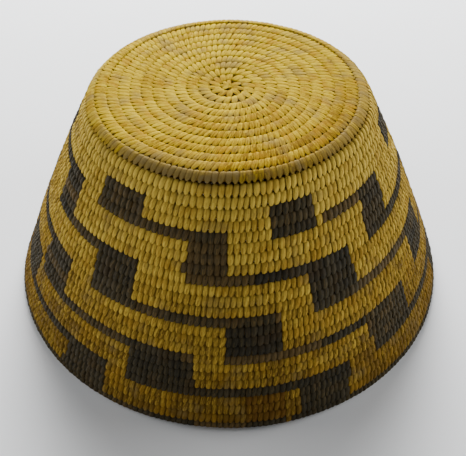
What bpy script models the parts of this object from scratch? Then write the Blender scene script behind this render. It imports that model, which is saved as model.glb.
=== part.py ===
"""Coiled basketry hat: a flat crown and a flaring wall, sewn from one spiral coil of grass.

The coil starts at a knot in the middle of the crown, winds out flat, turns down at the crown
edge and runs on as the wall to a level rim. Each turn of the coil is a solid of its own, and
the turns meet end to end at the seam, which lies at the back (+Y).
Metres, +Z up. The origin is the centre of the rim, in the plane that the rim stands on.
"""

import math

import bpy

# Driving dimensions
RIM_RADIUS = 0.105          # outside of the rim
HEIGHT = 0.101              # rim plane to crown top
CROWN_ROUNDS = 10           # turns of the flat crown, between the knot and the edge turn
WALL_ROWS = 24              # turns of the wall, between the edge turn and the rim
CROWN_PITCH = 0.0048        # coil to coil on the crown
WALL_BOW = 0.0016           # how far the wall bows outwards at half its height
GAP = 0.0003                # space left between neighbouring turns
SEAM_GAP = 0.0004           # space left where one turn ends and the next begins
RIM_TAPER = 12.0            # power of the curve that levels the rim: higher ends later
LEVELLING_ROWS = 8          # turns over which the spiral becomes a level ring
RIM_END = 0.970             # part of the last turn where the coil has tapered away
KNOT_STEPS = 24             # points round the knot's outline
CROWN_STEPS = 16            # straight pieces in each of the inner, tightest turns
WALL_STEPS = 32             # straight pieces in each of the other turns
TIGHT_ROUNDS = 4            # turns that count as tight

# Sizes that follow from them
EDGE_TURN = CROWN_ROUNDS + 1
RIM_TURN = EDGE_TURN + WALL_ROWS + 1
CORNER = EDGE_TURN + 1.0                    # coils from the middle out to the crown's corner
CORNER_REACH = 0.6                          # coils of rounding on each side of the corner
RIM_CENTRE = RIM_TURN + 0.5                 # coils from the middle out to the rim's centre line
SEAM = math.pi / 2                          # direction of the seam, seen from above
FLAT = math.cos(math.pi / 6)                # centre to flat of a six-sided coil of radius 1
CROWN_COIL_RADIUS = (CROWN_PITCH - GAP) / 2
RIM_COIL_RADIUS = 0.00194
CROWN_LEVEL = HEIGHT - FLAT * CROWN_COIL_RADIUS
RIM_LEVEL = FLAT * RIM_COIL_RADIUS
RIM_LINE = RIM_RADIUS - RIM_COIL_RADIUS

GOLDEN = (0.46, 0.28, 0.07, 1.0)
DARK = (0.035, 0.027, 0.022, 1.0)
GRASS = (0.40, 0.27, 0.10, 1.0)


def wall_point(coils):
    """Radius and height of the wall's middle line, a number of coils out from the knot."""
    t = (coils - CORNER) / (RIM_CENTRE - CORNER)
    edge = CROWN_PITCH * CORNER
    radius = edge + (RIM_LINE - edge) * t + 4 * WALL_BOW * t * (1 - t)
    return radius, CROWN_LEVEL + (RIM_LEVEL - CROWN_LEVEL) * t


def section_point(coils):
    """Radius and height on the whole section: crown, rounded corner, wall."""
    start, end = CORNER - CORNER_REACH, CORNER + CORNER_REACH
    if coils <= start:
        return CROWN_PITCH * coils, CROWN_LEVEL
    if coils >= end:
        return wall_point(coils)
    t = (coils - start) / (end - start)
    inner = (CROWN_PITCH * start, CROWN_LEVEL)
    corner = (CROWN_PITCH * CORNER, CROWN_LEVEL)
    outer = wall_point(end)
    return tuple((1 - t) ** 2 * a + 2 * t * (1 - t) * b + t * t * c
                 for a, b, c in zip(inner, corner, outer))


def advance(turn, part):
    """How far a turn's inner edge has moved outwards, in coils, at a part of the turn."""
    levelled = max(0, turn - (RIM_TURN - LEVELLING_ROWS))
    power = RIM_TAPER ** (levelled / LEVELLING_ROWS)
    return part ** power if turn <= RIM_TURN else 0.0


def edges(turn, part):
    """The two edges of a turn, in coils from the middle."""
    return turn + advance(turn, part), turn + 1 + advance(turn + 1, part)


def centre(turn, part):
    """Radius and height of a turn's middle line."""
    inner, outer = edges(turn, part)
    return section_point((inner + outer) / 2)


def coil_radius(turn, part):
    """Radius of the coil itself: as thick as its neighbours leave room for."""
    inner, outer = (section_point(edge) for edge in edges(turn, part))
    rooms = [math.dist(inner, outer)]
    if turn > 1:
        rooms.append(math.dist(centre(turn, part), centre(turn - 1, part)))
    if turn < RIM_TURN:
        rooms.append(math.dist(centre(turn, part), centre(turn + 1, part)))
    return (min(rooms) - GAP) / 2


def place(radius, height, part):
    """A point on the spiral: it winds clockwise, seen from above, from the seam."""
    angle = SEAM - 2 * math.pi * part
    return radius * math.cos(angle), radius * math.sin(angle), height


def turn_parts(turn):
    """The stations along one turn, as parts of it, with a short first and last piece."""
    steps = CROWN_STEPS if turn <= TIGHT_ROUNDS else WALL_STEPS
    first = SEAM_GAP / (2 * math.pi * centre(turn, 0.0)[0])
    last = RIM_END if turn == RIM_TURN else 1.0
    inside = [i / steps for i in range(1, steps) if i / steps < last - 0.2 / steps]
    return [first, first + 0.2 / steps] + inside + [last - 0.2 / steps, last]


def add_material(obj, colour):
    """Give an object its own matt plant-fibre material."""
    material = bpy.data.materials.new(obj.name)
    material.use_nodes = True
    shader = material.node_tree.nodes["Principled BSDF"]
    shader.inputs["Base Color"].default_value = colour
    shader.inputs["Roughness"].default_value = 0.7
    shader.inputs["Metallic"].default_value = 0.0
    obj.data.materials.append(material)


def add_curve(name, dimensions, collection):
    """A curve object with one straight-segment spline, and that spline."""
    curve = bpy.data.curves.new(name, "CURVE")
    curve.dimensions = dimensions
    obj = bpy.data.objects.new(name, curve)
    collection.objects.link(obj)
    return obj, curve.splines.new("POLY")


def add_coil_turn(name, turn, colour, collection):
    """One turn of the sewn coil, as a six-sided tube with closed ends."""
    obj, spline = add_curve(name, "3D", collection)
    parts = turn_parts(turn)
    spline.points.add(len(parts) - 1)
    for point, part in zip(spline.points, parts):
        thickness = coil_radius(turn, part)
        radius, height = centre(turn, part)
        height = max(height, FLAT * thickness)
        point.co = (*place(radius, height, part), 1.0)
        point.radius = thickness
    obj.data.twist_mode = "Z_UP"
    obj.data.bevel_depth = 1.0
    obj.data.bevel_resolution = 1
    obj.data.use_fill_caps = True
    add_material(obj, colour)


def add_start_knot(name, collection):
    """The knot that the coil grows from: a snail-shaped disc inside the first turn."""
    obj, spline = add_curve(name, "2D", collection)
    spline.points.add(KNOT_STEPS)
    for i, point in enumerate(spline.points):
        part = i / KNOT_STEPS
        radius = CROWN_PITCH * (1 + part) - GAP
        point.co = (*place(radius, 0.0, part), 1.0)
    spline.use_cyclic_u = True
    obj.data.fill_mode = "BOTH"
    obj.data.extrude = FLAT * CROWN_COIL_RADIUS
    obj.location.z = CROWN_LEVEL
    add_material(obj, GRASS)


def build():
    for obj in list(bpy.data.objects):
        bpy.data.objects.remove(obj)
    hat = bpy.data.collections.new("coiled_hat")
    bpy.context.scene.collection.children.link(hat)
    add_start_knot("start_knot", hat)
    for turn in range(1, EDGE_TURN):
        add_coil_turn(f"crown_coil_{turn:02d}", turn, GOLDEN, hat)
    add_coil_turn("crown_edge_coil", EDGE_TURN, GOLDEN, hat)
    for row in range(1, WALL_ROWS + 1):
        add_coil_turn(f"wall_coil_{row:02d}", EDGE_TURN + row, GOLDEN, hat)
    add_coil_turn("rim_coil", RIM_TURN, DARK, hat)


build()
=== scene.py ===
"""Coiled basketry hat: grass coil, golden and dark stitches, level dark rim, on a pale floor."""

import math
import random

import bpy
from mathutils import Matrix, Vector, noise


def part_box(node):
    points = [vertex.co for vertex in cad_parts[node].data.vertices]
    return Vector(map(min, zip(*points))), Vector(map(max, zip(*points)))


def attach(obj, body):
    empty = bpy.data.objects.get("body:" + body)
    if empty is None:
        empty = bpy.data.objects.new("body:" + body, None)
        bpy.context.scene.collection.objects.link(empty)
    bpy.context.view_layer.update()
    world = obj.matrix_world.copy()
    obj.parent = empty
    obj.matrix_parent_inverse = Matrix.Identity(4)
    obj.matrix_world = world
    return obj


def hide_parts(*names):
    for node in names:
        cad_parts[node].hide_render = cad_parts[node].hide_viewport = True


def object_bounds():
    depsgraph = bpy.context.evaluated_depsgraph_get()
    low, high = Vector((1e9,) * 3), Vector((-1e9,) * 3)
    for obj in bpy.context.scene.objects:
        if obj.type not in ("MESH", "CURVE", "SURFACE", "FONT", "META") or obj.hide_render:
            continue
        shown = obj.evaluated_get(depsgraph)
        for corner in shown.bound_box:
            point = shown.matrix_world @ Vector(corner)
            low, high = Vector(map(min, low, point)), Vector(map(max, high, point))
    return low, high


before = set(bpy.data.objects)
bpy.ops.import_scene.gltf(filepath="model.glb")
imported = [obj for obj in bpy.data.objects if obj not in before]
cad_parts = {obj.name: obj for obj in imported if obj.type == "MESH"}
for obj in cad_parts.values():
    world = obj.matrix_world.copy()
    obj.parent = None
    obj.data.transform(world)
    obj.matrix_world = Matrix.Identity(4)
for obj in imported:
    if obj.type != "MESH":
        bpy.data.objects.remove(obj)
cad_low, cad_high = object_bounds()


# ---- Camera, floor and light -------------------------------------------------------------
# The hat stands rim down on a white cloth, seen from above its front at arm's length. The
# light is a broad soft window behind it, so the crown is bright and the front dim, with a
# little from both sides and a soft fill from the room in front.
rim_radius = cad_high.x
view_height = math.radians(46.16)
view_distance = 3.6 * rim_radius

bpy.ops.object.camera_add(
    location=(0, -view_distance * math.cos(view_height), view_distance * math.sin(view_height)),
    rotation=(math.pi / 2 - view_height, 0, 0))
camera = bpy.context.object
camera.data.lens = 55.74
camera.data.shift_x = 0.0085
camera.data.shift_y = 0.0498
bpy.context.scene.camera = camera

bpy.ops.mesh.primitive_plane_add(size=16.0)
floor = bpy.context.object
floor.name = "floor"
cloth = bpy.data.materials.new("white_cloth")
cloth.use_nodes = True
cloth_shader = cloth.node_tree.nodes["Principled BSDF"]
cloth_shader.inputs["Base Color"].default_value = (0.80, 0.81, 0.82, 1)
cloth_shader.inputs["Roughness"].default_value = 0.9
floor.data.materials.append(cloth)


def add_soft_light(name, location, size, power):
    """A square area light that faces the middle of the hat, in metres and watts."""
    bpy.ops.object.light_add(type="AREA", location=location)
    light = bpy.context.object
    light.name = name
    light.data.size = size
    light.data.energy = power
    aim = Vector((0, 0, cad_high.z / 2)) - Vector(location)
    light.rotation_euler = aim.to_track_quat("-Z", "Y").to_euler()


add_soft_light("window_high", (0, 1.25, 0.85), 0.8, 57.0)
add_soft_light("window_low", (0, 0.75, 0.33), 0.5, 11.0)
add_soft_light("left", (-0.90, 0.15, 0.30), 0.5, 5.5)
add_soft_light("right", (0.90, 0.15, 0.30), 0.5, 7.0)
add_soft_light("room", (0, -1.20, 0.22), 0.5, 4.4)
world = bpy.data.worlds.new("room")
world.use_nodes = True
world.node_tree.nodes["Background"].inputs["Color"].default_value = (0.93, 0.96, 1.0, 1)
world.node_tree.nodes["Background"].inputs["Strength"].default_value = 0.10
bpy.context.scene.world = world


# ---- The coil of grass -------------------------------------------------------------------
# One bundle of dry grass stems, wound from the middle of the crown to the rim. Each turn is a
# piece of its own that takes the place of that turn's plain solid and meets the next one.
crown_rounds = sum(name.startswith("crown_coil_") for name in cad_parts)
wall_rows = sum(name.startswith("wall_coil_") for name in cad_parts)
edge_turn = crown_rounds + 1
rim_turn = edge_turn + wall_rows + 1
# In coils from the middle: the crown's rounded corner, how far it reaches, and the rim's middle
corner = edge_turn + 1.0
corner_reach = 0.6
rim_centre = rim_turn + 0.5
# The last rows move outwards later and later in their turn, until the rim lies level. Its own
# end tapers away at the back, just short of a full turn.
levelling_rows = 8
rim_taper = 12.0
rim_end = 0.97


def turn_width(name):
    """How wide a plain turn is from its left side to its right side."""
    low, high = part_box(name)
    return (high - low).x


# From the fourth turn to the ninth the crown grows by five coils on either side
crown_pitch = (turn_width("crown_coil_09") - turn_width("crown_coil_04")) / 10
crown_level = sum(corner_of.z for corner_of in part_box("crown_coil_05")) / 2
rim_level = sum(corner_of.z for corner_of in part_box("rim_coil")) / 2
# The rim coil's middle lies in from the outline, and the wall bows out a little between
rim_line = rim_radius - rim_level / math.cos(math.pi / 6)
wall_bow = 0.0016


def wall_point(coils):
    """Radius and height of the wall's middle line, a number of coils out from the middle."""
    t = (coils - corner) / (rim_centre - corner)
    edge = crown_pitch * corner
    radius = edge + (rim_line - edge) * t + 4 * wall_bow * t * (1 - t)
    return Vector((radius, crown_level + (rim_level - crown_level) * t))


def section_point(coils):
    """Radius and height on the section through crown, rounded corner and wall."""
    start, end = corner - corner_reach, corner + corner_reach
    if coils <= start:
        return Vector((crown_pitch * coils, crown_level))
    if coils >= end:
        return wall_point(coils)
    t = (coils - start) / (end - start)
    inner = Vector((crown_pitch * start, crown_level))
    middle = Vector((crown_pitch * corner, crown_level))
    return (1 - t) ** 2 * inner + 2 * t * (1 - t) * middle + t * t * wall_point(end)


def advance(turn, part):
    """How far a turn's inner edge has moved outwards, in coils, at a part of the turn."""
    if turn > rim_turn:
        return 0.0
    levelled = max(0, turn - (rim_turn - levelling_rows))
    return part ** (rim_taper ** (levelled / levelling_rows))


def coil_centre(turn, part):
    """Radius and height of a turn's middle line. A part past 1 or below 0 runs on smoothly."""
    if part < 0:
        return section_point(turn + 0.5 + part)
    inner, outer = turn + advance(turn, part), turn + 1 + advance(turn + 1, part)
    return section_point((inner + outer) / 2)


def coil_width(turn, part):
    """How much room a turn has between its neighbours."""
    inner, outer = turn + advance(turn, part), turn + 1 + advance(turn + 1, part)
    return (section_point(outer) - section_point(inner)).length


def in_space(radius, height, part):
    """A point of the section, turned to its place round the hat, from the seam at the back."""
    angle = math.pi / 2 - 2 * math.pi * part
    return Vector((radius * math.cos(angle), radius * math.sin(angle), height))


# How far the coil wanders, how often in a metre, and how far above the floor it lies level
wander = 0.00045
swells_a_metre, lifts_a_metre = 28, 34
level_below = 0.02


def uneven(point):
    """The small unevenness of hand work, which fades out towards the rim's plane."""
    radial = Vector((point.x, point.y, 0)).normalized()
    swell = noise.noise(point * swells_a_metre + Vector((3, 1, 7)))
    lift = noise.noise(point * lifts_a_metre + Vector((9, 5, 2)))
    lift *= min(1.0, point.z / level_below)
    return point + radial * swell * wander + Vector((0, 0, lift * wander))


def coil_point(turn, part):
    radius, height = coil_centre(turn, part)
    return uneven(in_space(radius, height, part))


bpy.ops.object.select_all(action="DESELECT")

# The bundle is fuller on the wall, where its stitches stand further apart. Its stems twist
# round each other, by a number of radians a turn.
bundle_radius = 0.00160
wall_bundle_radius = 0.00190
stems_round = 7
stem_groove = 0.80
twist_a_turn = 14
steps_a_turn = 96
floor_gap = 0.0001


def add_profile():
    """The outline of a bundle of stems: a ring with one lobe for each outer stem."""
    bpy.ops.curve.primitive_bezier_circle_add(radius=1.0)
    circle = bpy.context.object
    circle.name = "bundle_outline"
    spline = circle.data.splines[0]
    spline.type = "POLY"
    spline.points.add(stems_round * 3 - len(spline.points))
    for i, point in enumerate(spline.points):
        angle = 2 * math.pi * i / len(spline.points)
        reach = 1.0 if i % 3 else stem_groove
        point.co = (reach * math.cos(angle), reach * math.sin(angle), 0, 1)
    circle.hide_render = True
    circle.hide_viewport = True
    return circle


outline = add_profile()

grass = bpy.data.materials.new("dry_grass")
grass.use_nodes = True
nodes, links = grass.node_tree.nodes, grass.node_tree.links
shader = nodes["Principled BSDF"]
shader.inputs["Roughness"].default_value = 0.8
shader.inputs["Specular IOR Level"].default_value = 0.05
place = nodes.new("ShaderNodeTexCoord")
mottle = nodes.new("ShaderNodeTexNoise")
mottle.inputs["Scale"].default_value = 900
mottle.inputs["Detail"].default_value = 3
links.new(place.outputs["Object"], mottle.inputs["Vector"])
ramp = nodes.new("ShaderNodeValToRGB")
ramp.color_ramp.elements[0].position = 0.3
ramp.color_ramp.elements[0].color = (0.060, 0.028, 0.004, 1)
ramp.color_ramp.elements[1].position = 0.75
ramp.color_ramp.elements[1].color = (0.20, 0.105, 0.018, 1)
links.new(mottle.outputs["Fac"], ramp.inputs["Fac"])
links.new(ramp.outputs["Color"], shader.inputs["Base Color"])


def add_bundle(name, turn, node):
    """One turn of the bundle, as a lobed tube with closed ends that twists as it runs."""
    first = -0.5 if turn == 0 else 0.0
    last = rim_end if turn == rim_turn else 1.0
    share_of_steps = min(1.0, 0.35 + turn / 12)
    steps = round(steps_a_turn * share_of_steps * (last - first))
    curve = bpy.data.curves.new(name, "CURVE")
    curve.dimensions = "3D"
    curve.twist_mode = "Z_UP"
    curve.bevel_mode = "OBJECT"
    curve.bevel_object = outline
    curve.use_fill_caps = True
    spline = curve.splines.new("POLY")
    spline.points.add(steps)
    for i, point in enumerate(spline.points):
        part = first + (last - first) * i / steps
        point.co = (*coil_point(turn, part), 1)
        room = coil_width(turn, max(part, 0)) / crown_pitch
        full = wall_bundle_radius if edge_turn < turn < rim_turn else bundle_radius
        point.radius = min(full * min(1.0, 1.12 * room), point.co.z - floor_gap)
        # The coil starts thin, like a snail
        if turn == 0:
            grown = 0.35 + (part - first) * 1.1
            point.radius *= min(1.0, grown)
        point.tilt = twist_a_turn * part
    bundle = bpy.data.objects.new(name, curve)
    bpy.context.scene.collection.objects.link(bundle)
    bundle.select_set(True)
    bpy.context.view_layer.objects.active = bundle
    bpy.ops.object.convert(target="MESH")
    bundle.data.materials.clear()
    bundle.data.materials.append(grass)
    bpy.ops.object.mode_set(mode="EDIT")
    bpy.ops.mesh.select_all(action="SELECT")
    bpy.ops.mesh.remove_doubles(threshold=0.00002)
    bpy.ops.mesh.normals_make_consistent(inside=False)
    bpy.ops.object.mode_set(mode="OBJECT")
    bpy.ops.object.shade_smooth()
    bundle.select_set(False)
    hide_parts(node)
    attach(bundle, "root")
    return bundle


turn_nodes = ["start_knot"]
turn_nodes += [f"crown_coil_{turn:02d}" for turn in range(1, edge_turn)]
turn_nodes += ["crown_edge_coil"]
turn_nodes += [f"wall_coil_{row:02d}" for row in range(1, wall_rows + 1)]
turn_nodes += ["rim_coil"]
for turn, node in enumerate(turn_nodes):
    add_bundle(node.replace("_coil", "") + "_bundle", turn, node)
bpy.data.objects.remove(outline)


# ---- One stitch --------------------------------------------------------------------------
# A split stem is wrapped once round the bundle. Outside it is a plump oblong, round at its
# crown end and narrow at its rim end, where it bites in between two stitches of the next turn.
# X runs along the coil, Y towards the rim and Z outwards; a stitch is 2.6 mm wide, 4 mm high.
stitch_pitch = 0.00242
stitch_height = 0.0040
stitch_half_width = stitch_pitch * 0.54
strand_half = 0.00030
strand_reach = strand_half * 0.95
strand_sides = 5
stitch_stations = 12
# Degrees from outwards towards the rim: share of the full width, then Y and Z in millimetres
wrap = {
    0: (1.00, 0.00, 1.94), 30: (0.98, 1.10, 1.88), 60: (0.74, 1.98, 1.70), 90: (0.32, 2.62, 1.40),
    120: (0.36, 2.15, -0.30), 150: (0.75, 1.10, -1.40), 180: (0.95, 0.00, -1.72),
    210: (1.00, -0.95, -1.50), 240: (0.90, -1.70, -0.85), 270: (0.60, -2.08, 0.35),
    300: (0.88, -1.78, 1.26), 330: (1.00, -1.08, 1.74),
}
# The same on the crown, where the stitches lie flatter and closer, and round the bare rim
crown_wrap = {
    0: (1.00, 0.00, 1.70), 30: (0.98, 1.05, 1.68), 60: (0.78, 1.85, 1.60), 90: (0.34, 2.55, 1.40),
    120: (0.36, 2.15, -0.30), 150: (0.75, 1.10, -1.40), 180: (0.95, 0.00, -1.72),
    210: (1.00, -0.95, -1.50), 240: (0.90, -1.70, -0.85), 270: (0.60, -2.18, 0.60),
    300: (0.90, -1.88, 1.38), 330: (1.00, -1.10, 1.64),
}
rim_wrap = {
    0: (1.00, 0.00, 1.56), 30: (1.00, 0.84, 1.40), 60: (0.96, 1.36, 0.84), 90: (0.92, 1.54, 0.00),
    120: (0.92, 1.36, -0.84), 150: (0.95, 0.84, -1.40), 180: (0.95, 0.00, -1.56),
    210: (0.95, -0.95, -1.46), 240: (0.80, -1.70, -0.85), 270: (0.55, -2.02, 0.00),
    300: (0.80, -1.75, 0.90), 330: (0.97, -0.95, 1.42),
}


def add_stitch(name, stations, crease):
    """One wrap of the split stem: a torus round the X axis, pressed flat and shaped."""
    bpy.ops.mesh.primitive_torus_add(
        major_segments=stitch_stations, minor_segments=strand_sides, major_radius=0.0018,
        minor_radius=strand_half, rotation=(0, math.pi / 2, 0), generate_uvs=True)
    stitch = bpy.context.object
    stitch.name = name
    bpy.ops.object.transform_apply(location=False, rotation=True, scale=False)
    angles = [math.degrees(math.atan2(v.co.y, v.co.z)) % 360 for v in stitch.data.vertices]
    bpy.ops.object.mode_set(mode="EDIT")
    bpy.ops.mesh.select_mode(type="VERT")
    for degrees, (width, y, z) in stations.items():
        bpy.ops.mesh.select_all(action="DESELECT")
        bpy.ops.object.mode_set(mode="OBJECT")
        ring = []
        for vertex, angle in zip(stitch.data.vertices, angles):
            vertex.select = abs((angle - degrees + 180) % 360 - 180) < 180 / stitch_stations
            if vertex.select:
                ring.append(vertex.co.copy())
        middle = sum(ring, Vector()) / len(ring)
        bpy.ops.object.mode_set(mode="EDIT")
        spread = width * stitch_half_width / strand_reach
        bpy.ops.transform.resize(value=(spread, 1, 1), center_override=middle)
        bpy.ops.transform.translate(value=(0, y / 1000 - middle.y, z / 1000 - middle.z))
    bpy.ops.mesh.select_all(action="SELECT")
    bpy.ops.mesh.normals_make_consistent(inside=False)
    bpy.ops.object.mode_set(mode="OBJECT")
    bpy.ops.object.shade_smooth_by_angle(angle=math.radians(crease))
    stitch.data.attributes.new("dye", "FLOAT_COLOR", "POINT")
    stitch.select_set(False)
    return stitch


# On the crown the strands keep a crisp edge, while elsewhere they are round all over
wall_stitch = add_stitch("wall_stitch", wrap, 180)
crown_stitch = add_stitch("crown_stitch", crown_wrap, 60)
rim_stitch = add_stitch("rim_stitch", rim_wrap, 180)


# ---- Where the stitches sit --------------------------------------------------------------
# The maker sews along the coil, about ten stitches to the inch, each between two of the turn
# before. As the turns get longer an extra stitch goes in here and there to keep the pace.
# A stitch's place is its turn and the part of it that is done, in one number.
random.seed(31)
centre_stitches = 11
crown_lean = 0.38
stitch_lean = 0.15


def length_at(place):
    """The length of the turn that a place is on, in metres."""
    turn = math.floor(place)
    return 2 * math.pi * coil_centre(max(0, turn), place - max(0, turn)).x


# Four stitches draw the middle together, and the first turn fans out from them
sewn = [-0.40, -0.29, -0.18, -0.08]
pair, owed = len(sewn), 0.0
sewn += [math.sqrt(0.25 + 2 * i / centre_stitches) - 0.5 for i in range(centre_stitches + 1)]
for turn in range(1, rim_turn + 2):
    first_new = len(sewn)
    while sewn[pair] < turn:
        a, b = sewn[pair] + 1, sewn[pair + 1] + 1
        shift = 2 * (crown_lean if turn < edge_turn else stitch_lean) * stitch_height / length_at(a)
        owed += (b - a) * length_at(a) / stitch_pitch - 1
        if owed >= 1:
            owed -= 1
            sewn += [a + (b - a) * 0.25 + shift, a + (b - a) * 0.75 + shift]
        elif owed < -1:
            owed += 1
        else:
            sewn.append((a + b) / 2 + shift)
        pair += 1
    for evening_out in range(10):
        for i in range(first_new, len(sewn) - 1):
            sewn[i] = (sewn[i - 1] + 2 * sewn[i] + sewn[i + 1]) / 4


# ---- The stairs of dark stitches ---------------------------------------------------------
# Six stairs run down the wall to the right. Each has six blocks of dark stitches, the top one
# three turns high and the others five, and a line of one turn joins each block to the next.
# The rim is dark all round.
# The blocks' left edges and widths, in degrees to the right of the front
stairs = (
    (-47, -13.2, 24, 66, 106, 148), (13, 48, 90, 124, 161, 203), (78, 110, 143, 179, 216, 258),
    (-222, -190, -161, -127, -86, -46), (-163, -130, -105, -66, -25.8, 17.5),
    (-105, -70, -42, -0.7, 39.7, 79),
)
block_widths = (17, 12.2, 14.6, 14.3, 17, 13.5)
first_dark_row = 3
rows_a_step = 4
line_reach = 12


def is_dark(turn, part):
    """Whether the stitch at a part of a turn belongs to the stairs or the rim."""
    if turn == rim_turn:
        return True
    for lap in (-1, 0, 1):
        row = turn - edge_turn + lap
        degrees = 180 - 360 * part + 360 * lap
        for stair in stairs:
            for step, (left, width) in enumerate(zip(stair, block_widths)):
                top = max(first_dark_row, rows_a_step * step + 1)
                bottom = rows_a_step * (step + 1) + 1
                if top <= row <= bottom and left <= degrees <= left + width:
                    return True
                last = step + 1 == len(stair)
                if not last and row == bottom and left <= degrees <= stair[step + 1] + line_reach:
                    return True
    return False


# ---- Sewing ------------------------------------------------------------------------------
# Each wrap follows the coil where it sits. It leans a little along it, is as high as its turn
# and as wide as its room, and stays above the floor. The wraps of one turn and one colour are
# one piece.
def stitch_matrix(turn, part, width, lean, plump):
    """The frame of one stitch: along the coil, towards the rim and outwards."""
    here = coil_point(turn, part)
    step = 0.002
    along = (coil_point(turn, part + step) - coil_point(turn, part - step)).normalized()
    before = coil_centre(turn - 1, part)
    if turn == rim_turn:
        after = 2 * coil_centre(turn, part) - before
    else:
        after = coil_centre(turn + 1, part)
    before_point, after_point = in_space(*before, part), in_space(*after, part)
    down = after_point - before_point
    height = (coil_width(turn, part) if turn == rim_turn else down.length / 2) / stitch_height
    down = (down - along * down.dot(along)).normalized()
    out = along.cross(down)
    thick = min(1.0, 0.3 + 0.7 * height)
    frame_of = Matrix.Identity(4)
    frame_of.col[0] = (*(along * width / stitch_pitch), 0)
    frame_of.col[1] = (*(down * height + along * lean), 0)
    frame_of.col[2] = (*(out * thick * plump), 0)
    frame_of.col[3] = (*here, 1)
    return frame_of


def sew(name, template, material, placed):
    """Copies of the one stitch, each laid in its own place above the floor, joined as one."""
    copies = []
    for matrix, dye in placed:
        mesh = template.data.copy()
        mesh.transform(matrix)
        lowest = min(vertex.co.z for vertex in mesh.vertices)
        mesh.transform(Matrix.Translation((0, 0, max(0, floor_gap - lowest))))
        mesh.attributes["dye"].data.foreach_set("color", list(dye) * len(mesh.vertices))
        stitch = bpy.data.objects.new(name, mesh)
        bpy.context.scene.collection.objects.link(stitch)
        stitch.select_set(True)
        copies.append(stitch)
    piece = copies[0]
    bpy.context.view_layer.objects.active = piece
    bpy.ops.object.join()
    piece.name = name
    piece.data.materials.append(material)
    piece.select_set(False)
    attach(piece, "root")
    return piece


# ---- Fibre and wear ----------------------------------------------------------------------
# What all the split stems share. Fine fibres run along each strand and differ from stitch to
# stitch, and years of use have rubbed some patches grey and aged others to amber.
def new_group(name, inputs, outputs):
    """An empty node group with plain number sockets, and its two ends."""
    group = bpy.data.node_groups.new(name, "ShaderNodeTree")
    for socket in inputs:
        group.interface.new_socket(socket, in_out="INPUT", socket_type="NodeSocketFloat")
    for socket in outputs:
        group.interface.new_socket(socket, in_out="OUTPUT", socket_type="NodeSocketFloat")
    return group, group.nodes.new("NodeGroupInput"), group.nodes.new("NodeGroupOutput")


def sums(tree, a, b, c):
    """a * b + c, where each is a number or a socket."""
    node = tree.nodes.new("ShaderNodeMath")
    node.operation = "MULTIPLY_ADD"
    for socket, value in zip(node.inputs, (a, b, c)):
        if isinstance(value, (int, float)):
            socket.default_value = value
        else:
            tree.links.new(value, socket)
    return node.outputs["Value"]


def between(tree, value, low, high, to_low=0.0, to_high=1.0):
    """How far a value is between two limits, as a number of its own range."""
    node = tree.nodes.new("ShaderNodeMapRange")
    tree.links.new(value, node.inputs["Value"])
    limits = {"From Min": low, "From Max": high, "To Min": to_low, "To Max": to_high}
    for socket, number in limits.items():
        node.inputs[socket].default_value = number
    return node.outputs["Result"]


def blotches(tree, scale, detail, move, vector):
    """Noise over a vector, moved so that no two effects share a pattern."""
    mapping = tree.nodes.new("ShaderNodeMapping")
    mapping.inputs["Location"].default_value = move
    tree.links.new(vector, mapping.inputs["Vector"])
    cloud = tree.nodes.new("ShaderNodeTexNoise")
    cloud.inputs["Scale"].default_value = scale
    cloud.inputs["Detail"].default_value = detail
    tree.links.new(mapping.outputs["Vector"], cloud.inputs["Vector"])
    return cloud.outputs["Fac"]


# Fibres run the length of a strand, and each stitch has its own stretch of them
stem_fibre, fibre_in, fibre_out = new_group(
    "stem_fibre", ["Tone", "Streaks"], ["Tone", "Height", "Side"])
uv = stem_fibre.nodes.new("ShaderNodeUVMap")
strand = stem_fibre.nodes.new("ShaderNodeMapping")
strand.inputs["Scale"].default_value = (2.5, 9, 1)
strand_shift = stem_fibre.nodes.new("ShaderNodeCombineXYZ")
for axis, shift in (("X", 61.0), ("Y", 173.0)):
    moved = sums(stem_fibre, fibre_in.outputs["Tone"], shift, 0.0)
    stem_fibre.links.new(moved, strand_shift.inputs[axis])
stem_fibre.links.new(uv.outputs["UV"], strand.inputs["Vector"])
stem_fibre.links.new(strand_shift.outputs["Vector"], strand.inputs["Location"])
fibres = stem_fibre.nodes.new("ShaderNodeTexNoise")
fibres.inputs["Scale"].default_value = 1.0
fibres.inputs["Detail"].default_value = 3
fibres.inputs["Roughness"].default_value = 0.65
stem_fibre.links.new(strand.outputs["Vector"], fibres.inputs["Vector"])
streak = sums(
    stem_fibre, fibres.outputs["Fac"], fibre_in.outputs["Streaks"], fibre_in.outputs["Tone"])
half_streaks = sums(stem_fibre, fibre_in.outputs["Streaks"], -0.5, 0.0)
stem_fibre.links.new(sums(stem_fibre, streak, 1.0, half_streaks), fibre_out.inputs["Tone"])
stem_fibre.links.new(fibres.outputs["Fac"], fibre_out.inputs["Height"])
# The strand's two sides, where it meets the next stitch, folded to one number that masks painted
# shade
across = stem_fibre.nodes.new("ShaderNodeSeparateXYZ")
stem_fibre.links.new(uv.outputs["UV"], across.inputs["Vector"])
fold = stem_fibre.nodes.new("ShaderNodeMath")
fold.operation = "PINGPONG"
fold.inputs[1].default_value = 0.5
stem_fibre.links.new(sums(stem_fibre, across.outputs["Y"], 1.0, 0.4), fold.inputs[0])
side = between(stem_fibre, fold.outputs["Value"], 0.13, 0.22)
stem_fibre.links.new(side, fibre_out.inputs["Side"])

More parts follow.
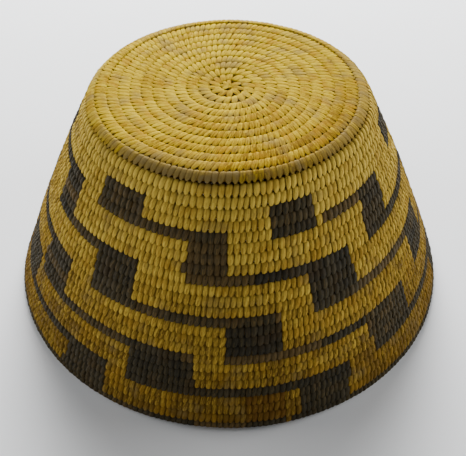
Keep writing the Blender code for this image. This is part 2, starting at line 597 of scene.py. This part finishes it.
# Soft patches over the whole body, about a fingertip wide
wear, wear_in, wear_out = new_group("years_of_wear", ["Patches"], ["Rubbed", "Aged"])
body_place = wear.nodes.new("ShaderNodeTexCoord").outputs["Object"]
rubbed_cloud = blotches(wear, 105, 2.5, (0.3, 0.1, 0.7), body_place)
aged_cloud = blotches(wear, 130, 2.0, (2.1, 4.0, 1.3), body_place)
wear_masks = ((rubbed_cloud, 0.52, 0.68, "Rubbed"), (aged_cloud, 0.53, 0.66, "Aged"))
for cloud, low, high, socket in wear_masks:
    mask = sums(wear, between(wear, cloud, low, high), wear_in.outputs["Patches"], 0.0)
    wear.links.new(mask, wear_out.inputs[socket])


def wash(tree, under, share, colour):
    """Lay a colour over another one, by a share that changes over the surface."""
    mix = tree.nodes.new("ShaderNodeMix")
    mix.data_type = "RGBA"
    tree.links.new(share, mix.inputs["Factor"])
    tree.links.new(under, mix.inputs["A"])
    mix.inputs["B"].default_value = (*colour, 1)
    return mix.outputs["Result"]


def make_splint(name, tones, rubbed, aged, stained, shadow, patches, join_shade, gloss):
    """Split stem: its tone per stitch, fibres, wear, stains and painted shade between stitches."""
    material = bpy.data.materials.new(name)
    material.use_nodes = True
    tree = material.node_tree
    shader = tree.nodes["Principled BSDF"]
    shader.inputs["Specular IOR Level"].default_value = gloss
    dye = tree.nodes.new("ShaderNodeAttribute")
    dye.attribute_name = "dye"
    split = tree.nodes.new("ShaderNodeSeparateColor")
    tree.links.new(dye.outputs["Color"], split.inputs["Color"])
    fibre = tree.nodes.new("ShaderNodeGroup")
    fibre.node_tree = stem_fibre
    tree.links.new(split.outputs["Red"], fibre.inputs["Tone"])
    fibre.inputs["Streaks"].default_value = 2.2
    marks = tree.nodes.new("ShaderNodeGroup")
    marks.node_tree = wear
    marks.inputs["Patches"].default_value = patches
    ramp = tree.nodes.new("ShaderNodeValToRGB")
    ramp.color_ramp.elements[0].color = (*tones[0], 1)
    ramp.color_ramp.elements[1].color = (*tones[2], 1)
    ramp.color_ramp.elements.new(0.5).color = (*tones[1], 1)
    tree.links.new(fibre.outputs["Tone"], ramp.inputs["Fac"])
    colour = wash(tree, ramp.outputs["Color"], marks.outputs["Aged"], aged)
    all_rubbed = sums(tree, marks.outputs["Rubbed"], 1.0, split.outputs["Green"])
    colour = wash(tree, colour, all_rubbed, rubbed)
    colour = wash(tree, colour, split.outputs["Blue"], stained)
    # Painted shade in the grooves, where each strand meets the next stitch
    colour = wash(tree, colour, sums(tree, fibre.outputs["Side"], join_shade, 0.0), shadow)
    tree.links.new(colour, shader.inputs["Base Color"])
    roughness = between(tree, fibre.outputs["Height"], 0.3, 0.7, 0.85, 0.65)
    tree.links.new(roughness, shader.inputs["Roughness"])
    bump = tree.nodes.new("ShaderNodeBump")
    bump.inputs["Strength"].default_value = 0.6
    bump.inputs["Distance"].default_value = 0.0004
    tree.links.new(fibre.outputs["Height"], bump.inputs["Height"])
    tree.links.new(bump.outputs["Normal"], shader.inputs["Normal"])
    return material


# Stems for the lit crown and the shaded wall, coloured apart as painted light and shade, and
# the dyed ones
crown_splint = make_splint(
    "crown_splint", ((0.17, 0.092, 0.005), (0.41, 0.270, 0.008), (0.57, 0.41, 0.016)),
    rubbed=(0.215, 0.155, 0.055), aged=(0.32, 0.168, 0.006), stained=(0.11, 0.044, 0.009),
    shadow=(0.10, 0.048, 0.004), patches=0.60, join_shade=0.85, gloss=0.01)
golden_splint = make_splint(
    "golden_splint", ((0.115, 0.064, 0.011), (0.325, 0.206, 0.025), (0.52, 0.365, 0.054)),
    rubbed=(0.17, 0.120, 0.042), aged=(0.27, 0.145, 0.012), stained=(0.08, 0.034, 0.007),
    shadow=(0.10, 0.048, 0.006), patches=0.45, join_shade=0.80, gloss=0.03)
dark_splint = make_splint(
    "dark_splint", ((0.019, 0.0170, 0.0115), (0.041, 0.0315, 0.0135), (0.100, 0.062, 0.019)),
    rubbed=(0.058, 0.046, 0.026), aged=(0.046, 0.027, 0.009), stained=(0.20, 0.12, 0.03),
    shadow=(0.012, 0.0095, 0.006), patches=0.40, join_shade=0.45, gloss=0.08)


# ---- The stitches ------------------------------------------------------------------------
# Golden and dark stems are sewn turn by turn from the middle of the crown to the rim. Each
# stem lasts for six stitches to two dozen, so the tone changes in runs.
run_stitches = (6, 24)
# How light a golden stitch is: on the crown and how much darker towards its front edge, which
# lies a little right of the front, as painted shade; then at the top of the wall and how much
# darker down at the rim, partly painted shade of the dim lower front and partly browner rows
crown_tone, crown_darkening, shaded_edge = 0.62, 0.48, 25
wall_tone, wall_darkening = 0.98, 0.95
dark_tone = 0.32

# Where the dark stems are browner or blacker: rows, degrees right of the front, and tone
dark_runs = (
    (3, 5, -47, -30, 0.70), (5, 5, -30, -14, 0.80), (5, 8, -14, 0, 0.85),
    (9, 9, -15, 8, 0.85), (9, 9, -60, -43, 0.72), (3, 4, 13, 30, 0.50),
    (5, 5, 30, 48, 0.90), (9, 9, 8, 38, 0.10), (10, 13, -44, -27, 0.40),
    (13, 13, -27, -1, 0.60), (13, 13, 12, 24, 1.00), (13, 13, 38, 66, 0.80),
    (13, 13, -1, 12, 0.65), (14, 16, -1, 13, 0.18), (17, 17, -13, 24, 0.78),
    (17, 20, 39, 55, 0.62), (18, 21, -27, -12, 0.20), (17, 17, -45, -28, 0.65),
    (7, 7, -70, -58, 1.00), (15, 15, -66, -52, 0.90), (22, 24, 17, 32, 0.30),
    (22, 24, -47, -33, 0.35), (25, 25, -34, -24, 0.60), (25, 25, -8, 4, 0.95),
)
# Where the golden ones are rubbed grey: turns out from the crown's edge, degrees, and how much
rubbed_runs = (
    (0, 0, -74, -50, 0.30), (0, 0, -46, 4, 0.85), (-1, -1, -42, -4, 0.30),
    (0, 0, -110, -80, 0.30), (-1, 0, -154, -134, 0.35), (-1, -1, 128, 150, 0.35),
    (0, 0, 14, 36, 0.45), (0, 0, 36, 118, 0.60),
)
# Single light stitches in the dark rows, and the brown stain near the front of the rim
light_ones = ((5, 31), (25, 14.2))
stain = (22, 24, 4, 14, 0.60)
# One rim stitch on the right side has worked loose and stands proud: where it is, give or
# take how much, and how high
proud_place, proud_reach, proud_plump = 97, 0.7, 1.6


def share_at(runs, row, degrees, otherwise):
    """The last value of the runs that a stitch lies in."""
    for first, last, left, right, value in runs:
        if first <= row <= last and left <= degrees <= right:
            otherwise = value
    return otherwise


run_tone, run_left = 0.0, 0
for turn, node in enumerate(turn_nodes):
    row = turn - edge_turn
    on_crown = row <= 0
    light, dark = [], []
    for i in range(1, len(sewn) - 1):
        part = sewn[i] - turn
        if not (0 <= part < 1 or turn == 0 and part < 0) or turn == rim_turn and part > rim_end:
            continue
        if run_left <= 0:
            run_tone, run_left = random.uniform(-0.16, 0.14), random.randint(*run_stitches)
        run_left -= 1
        degrees = 180 - 360 * part
        room = max((sewn[i + 1] - sewn[i - 1]) / 2 * length_at(sewn[i]), 0.8 * stitch_pitch)
        width = room * (random.uniform(0.92, 1.04) if on_crown else random.uniform(0.90, 1.03))
        lean = (crown_lean if row < 0 else stitch_lean) + random.uniform(-0.09, 0.09)
        plump = random.uniform(0.96, 1.03) if on_crown else random.uniform(0.93, 1.06)
        if turn == rim_turn and abs(degrees - proud_place) < proud_reach:
            plump = proud_plump
        matrix = stitch_matrix(turn, part, width, lean, plump)
        tone = run_tone + random.uniform(-0.12, 0.12)
        passed_over = any(row == at and abs(degrees - left) < 0.8 for at, left in light_ones)
        if is_dark(turn, part) and not passed_over:
            tone += share_at(dark_runs, row, degrees, dark_tone)
            dark.append((matrix, (max(0, tone), random.uniform(0, 0.12), 0, 1)))
            continue
        # Painted shade darkens the crown towards its front edge and, in part, the wall towards the
        # rim
        if on_crown:
            front = max(0, math.cos(math.radians(degrees - shaded_edge))) * turn / edge_turn
            tone += crown_tone - crown_darkening * front
        else:
            tone += wall_tone - wall_darkening * row / wall_rows
        edge_wear = 0.2 if row == 0 else 0
        worn = share_at(rubbed_runs, row, degrees, edge_wear) * random.uniform(0.6, 1.2)
        brown = share_at((stain,), row, degrees, 0) * random.uniform(0.7, 1.2)
        # The very middle of the crown has gone a little brown
        if turn < 2:
            brown = random.uniform(0.0, 0.30) / (turn + 1)
        light.append((matrix, (tone, worn, brown, 1)))
    base = node.replace("_coil", "")
    template = crown_stitch if on_crown else rim_stitch if turn == rim_turn else wall_stitch
    if light:
        splint = crown_splint if on_crown else golden_splint
        sew(base + "_golden_stitches", template, splint, light)
    if dark:
        sew(base + "_dark_stitches", template, dark_splint, dark)
for template in (wall_stitch, crown_stitch, rim_stitch):
    bpy.data.objects.remove(template)
